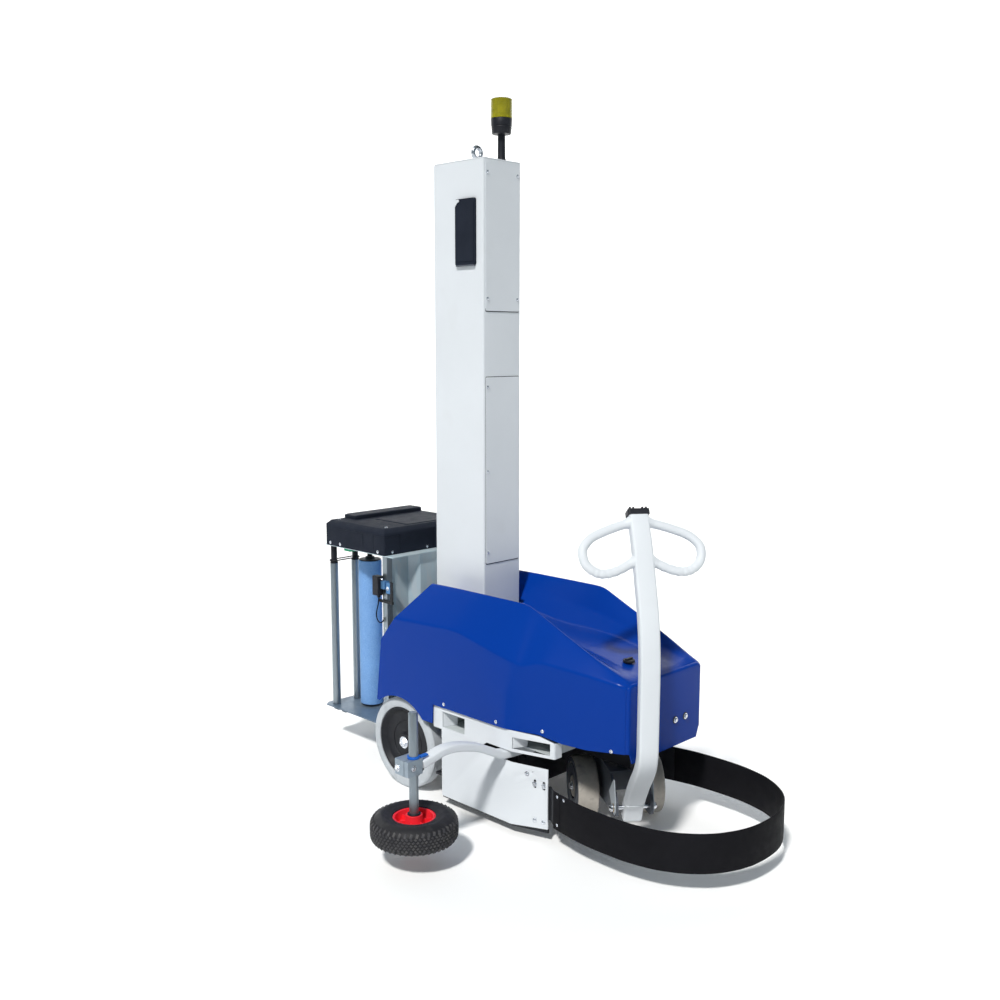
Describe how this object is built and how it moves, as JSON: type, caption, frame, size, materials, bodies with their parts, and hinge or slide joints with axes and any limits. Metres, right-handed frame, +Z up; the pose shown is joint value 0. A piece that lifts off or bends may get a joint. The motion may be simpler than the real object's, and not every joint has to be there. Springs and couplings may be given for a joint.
{
  "type": "mobile pallet stretch wrapper",
  "caption": "Self-propelled pallet wrapping robot with tall mast, rear film carriage, faceted hood, steering tiller, side feeler wheel and loop bumper.",
  "frame": {"origin": "centre of the machine's bounding box, on the floor", "axes": "+Z up; +X forward towards the tiller and bumper; +Y to the machine's left, away from the feeler wheel"},
  "size_m": [1.883, 1.089, 2.3745],
  "materials": {
    "battery_pack": "battery case",
    "beacon_base": "matte black",
    "beacon_lens": "amber lens",
    "bumper_band": "matte black rubber",
    "bumper_bracket_left": "dark grey",
    "bumper_bracket_right": "dark grey",
    "carriage_back_plate": "zinc plated",
    "carriage_base_plate": "zinc plated",
    "carriage_cover": "matte black",
    "carriage_slide_block": "dark grey",
    "carriage_strut": "zinc plated",
    "carriage_top_plate": "zinc plated",
    "chassis_frame": "satin black",
    "control_panel": "matte black",
    "drive_unit": "dark grey",
    "emergency_stop": "gloss red",
    "feeler_arm": "satin white powder coat",
    "feeler_clamp": "zinc plated",
    "feeler_hub": "gloss red",
    "feeler_tube": "zinc plated",
    "feeler_tyre": "knobbly black tyre",
    "film_mandrel": "matte black",
    "fork_pocket_front": "satin white powder coat",
    "fork_pocket_rear": "satin white powder coat",
    "front_axle": "bright steel",
    "front_wheel_left": "grey non-marking rubber",
    "front_wheel_right": "grey non-marking rubber",
    "guide_tube_belt": "matte black rubber",
    "guide_tube_inner": "zinc plated",
    "guide_tube_outer": "zinc plated",
    "hood": "gloss blue moulding",
    "hood_latch": "matte black",
    "lift_belt": "matte black rubber",
    "lift_guide_rail": "bright steel",
    "lift_motor": "black",
    "lift_pulley_bottom": "dark grey",
    "lift_pulley_top": "dark grey",
    "lifting_eye": "zinc plated",
    "mast_column": "satin white powder coat",
    "mast_lower_panel": "satin white powder coat",
    "mast_top_cap": "satin white powder coat",
    "mast_upper_panel": "satin white powder coat",
    "mast_vent_cover": "matte black",
    "photocell": "matte black",
    "photocell_cable": "matte black rubber",
    "prestretch_motor": "dark grey",
    "prestretch_roller_front": "matt blue rubber",
    "prestretch_roller_rear": "matt blue rubber",
    "rear_axle": "bright steel",
    "rear_hub_left": "matte black",
    "rear_hub_right": "matte black",
    "rear_tyre_left": "grey non-marking rubber",
    "rear_tyre_right": "grey non-marking rubber",
    "side_plate_left": "satin white powder coat",
    "side_plate_right": "satin white powder coat",
    "steer_fork": "dark grey",
    "tiller_cap": "matte black",
    "tiller_handle": "satin white powder coat",
    "tiller_pin": "bright steel",
    "tiller_post": "satin white powder coat"
  },
  "bodies": {
    "chassis": {"chassis_frame": "chassis_frame", "side_plate_right": "side_plate_right", "side_plate_left": "side_plate_left", "fork_pocket_rear": "fork_pocket_rear", "fork_pocket_front": "fork_pocket_front", "hood": "hood", "battery_pack": "battery_pack", "drive_unit": "drive_unit", "rear_axle": "rear_axle", "mast_column": "mast_column", "mast_top_cap": "mast_top_cap", "mast_upper_panel": "mast_upper_panel", "mast_lower_panel": "mast_lower_panel", "mast_vent_cover": "mast_vent_cover", "lift_guide_rail": "lift_guide_rail", "lift_motor": "lift_motor", "lift_belt": "lift_belt", "lifting_eye": "lifting_eye", "beacon_base": "beacon_base", "beacon_lens": "beacon_lens", "control_panel": "control_panel", "bumper_bracket_right": "bumper_bracket_right", "bumper_bracket_left": "bumper_bracket_left"},
    "latch": {"hood_latch": "hood_latch"},
    "stop_button": {"emergency_stop": "emergency_stop"},
    "pulley_top": {"lift_pulley_top": "lift_pulley_top"},
    "pulley_bottom": {"lift_pulley_bottom": "lift_pulley_bottom"},
    "carriage": {"carriage_back_plate": "carriage_back_plate", "carriage_slide_block": "carriage_slide_block", "carriage_base_plate": "carriage_base_plate", "carriage_top_plate": "carriage_top_plate", "carriage_cover": "carriage_cover", "carriage_strut": "carriage_strut", "photocell": "photocell", "photocell_cable": "photocell_cable", "prestretch_motor": "prestretch_motor", "guide_tube_belt": "guide_tube_belt"},
    "roller_front": {"prestretch_roller_front": "prestretch_roller_front"},
    "roller_rear": {"prestretch_roller_rear": "prestretch_roller_rear"},
    "mandrel": {"film_mandrel": "film_mandrel"},
    "tube_outer": {"guide_tube_outer": "guide_tube_outer"},
    "tube_inner": {"guide_tube_inner": "guide_tube_inner"},
    "rear_wheel_right": {"rear_tyre_right": "rear_tyre_right", "rear_hub_right": "rear_hub_right"},
    "rear_wheel_left": {"rear_tyre_left": "rear_tyre_left", "rear_hub_left": "rear_hub_left"},
    "steering": {"steer_fork": "steer_fork", "front_axle": "front_axle", "tiller_pin": "tiller_pin"},
    "wheel_right": {"front_wheel_right": "front_wheel_right"},
    "wheel_left": {"front_wheel_left": "front_wheel_left"},
    "tiller": {"tiller_post": "tiller_post", "tiller_handle": "tiller_handle", "tiller_cap": "tiller_cap"},
    "feeler": {"feeler_arm": "feeler_arm", "feeler_clamp": "feeler_clamp"},
    "feeler_stem": {"feeler_tube": "feeler_tube"},
    "feeler_wheel": {"feeler_hub": "feeler_hub", "feeler_tyre": "feeler_tyre"},
    "bumper": {"bumper_band": "bumper_band"}
  },
  "joints": [
    {"name": "carriage_lift", "type": "slide", "parent": "chassis", "child": "carriage", "axis": [0, 0, 1], "range_m": [0, 1.2]},
    {"name": "pulley_top_spin", "type": "hinge", "parent": "chassis", "child": "pulley_top", "pos_m": [-0.288, 0.285, 1.93], "axis": [-1, 0, 0], "continuous": true},
    {"name": "pulley_bottom_spin", "type": "hinge", "parent": "chassis", "child": "pulley_bottom", "pos_m": [-0.288, 0.285, 0.27], "axis": [-1, 0, 0], "continuous": true},
    {"name": "roller_front_spin", "type": "hinge", "parent": "carriage", "child": "roller_front", "pos_m": [-0.7995, 0.176, 0.142], "axis": [0, 0, 1], "continuous": true},
    {"name": "roller_rear_spin", "type": "hinge", "parent": "carriage", "child": "roller_rear", "pos_m": [-0.7095, 0.246, 0.142], "axis": [0, 0, 1], "continuous": true},
    {"name": "mandrel_spin", "type": "hinge", "parent": "carriage", "child": "mandrel", "pos_m": [-0.7575, 0.385, 0.142], "axis": [0, 0, 1], "continuous": true},
    {"name": "tube_outer_spin", "type": "hinge", "parent": "carriage", "child": "tube_outer", "pos_m": [-0.902, 0.081, 0.142], "axis": [0, 0, 1], "continuous": true},
    {"name": "tube_inner_spin", "type": "hinge", "parent": "carriage", "child": "tube_inner", "pos_m": [-0.902, 0.1836, 0.142], "axis": [0, 0, 1], "continuous": true},
    {"name": "rear_wheel_right_roll", "type": "hinge", "parent": "chassis", "child": "rear_wheel_right", "pos_m": [-0.3415, -0.0275, 0.161], "axis": [0, 1, 0], "continuous": true},
    {"name": "rear_wheel_left_roll", "type": "hinge", "parent": "chassis", "child": "rear_wheel_left", "pos_m": [-0.3415, 0.4975, 0.161], "axis": [0, 1, 0], "continuous": true},
    {"name": "steering", "type": "hinge", "parent": "chassis", "child": "steering", "pos_m": [0.4125, 0.235, 0.2075], "axis": [0, 0, 1], "range_deg": [0, 74]},
    {"name": "front_wheel_right_roll", "type": "hinge", "parent": "steering", "child": "wheel_right", "pos_m": [0.25845, 0.21335, 0.1], "axis": [0.6018, 0.7986, 0], "continuous": true},
    {"name": "front_wheel_left_roll", "type": "hinge", "parent": "steering", "child": "wheel_left", "pos_m": [0.39085, 0.38905, 0.1], "axis": [0.6018, 0.7986, 0], "continuous": true},
    {"name": "tiller_tilt", "type": "hinge", "parent": "steering", "child": "tiller", "pos_m": [0.50434, 0.16579, 0.115], "axis": [0.6018, 0.7986, 0], "range_deg": [0, 38]},
    {"name": "feeler_swing", "type": "hinge", "parent": "chassis", "child": "feeler", "pos_m": [0.1725, 0.035, 0.2585], "axis": [0, 0, 1], "range_deg": [0, 22.2]},
    {"name": "feeler_height", "type": "slide", "parent": "feeler", "child": "feeler_stem", "axis": [0, 0, 1], "range_m": [-0.04, 0.12]},
    {"name": "feeler_wheel_spin", "type": "hinge", "parent": "feeler_stem", "child": "feeler_wheel", "pos_m": [0.1275, -0.411, 0.105], "axis": [0, 0, 1], "continuous": true},
    {"name": "bumper_push", "type": "slide", "parent": "chassis", "child": "bumper", "axis": [-1, 0, 0], "range_m": [0, 0.03], "stiffness_N_per_m": 1500},
    {"name": "stop_button_push", "type": "slide", "parent": "chassis", "child": "stop_button", "axis": [0, -1, 0], "range_m": [0, 0.006], "stiffness_N_per_m": 600},
    {"name": "latch_turn", "type": "hinge", "parent": "chassis", "child": "latch", "pos_m": [0.4645, 0.185, 0.5735], "axis": [0, 0, 1], "range_deg": [0, 90]}
  ],
  "couplings": [
    {"joint": "pulley_top_spin", "follows": "carriage_lift", "rad_per_m": 44.2},
    {"joint": "pulley_bottom_spin", "follows": "carriage_lift", "rad_per_m": 44.2},
    {"joint": "roller_rear_spin", "follows": "roller_front_spin", "ratio": -2.5},
    {"joint": "tube_outer_spin", "follows": "tube_inner_spin", "ratio": 1},
    {"joint": "feeler_swing", "follows": "steering", "ratio": 0.3}
  ]
}
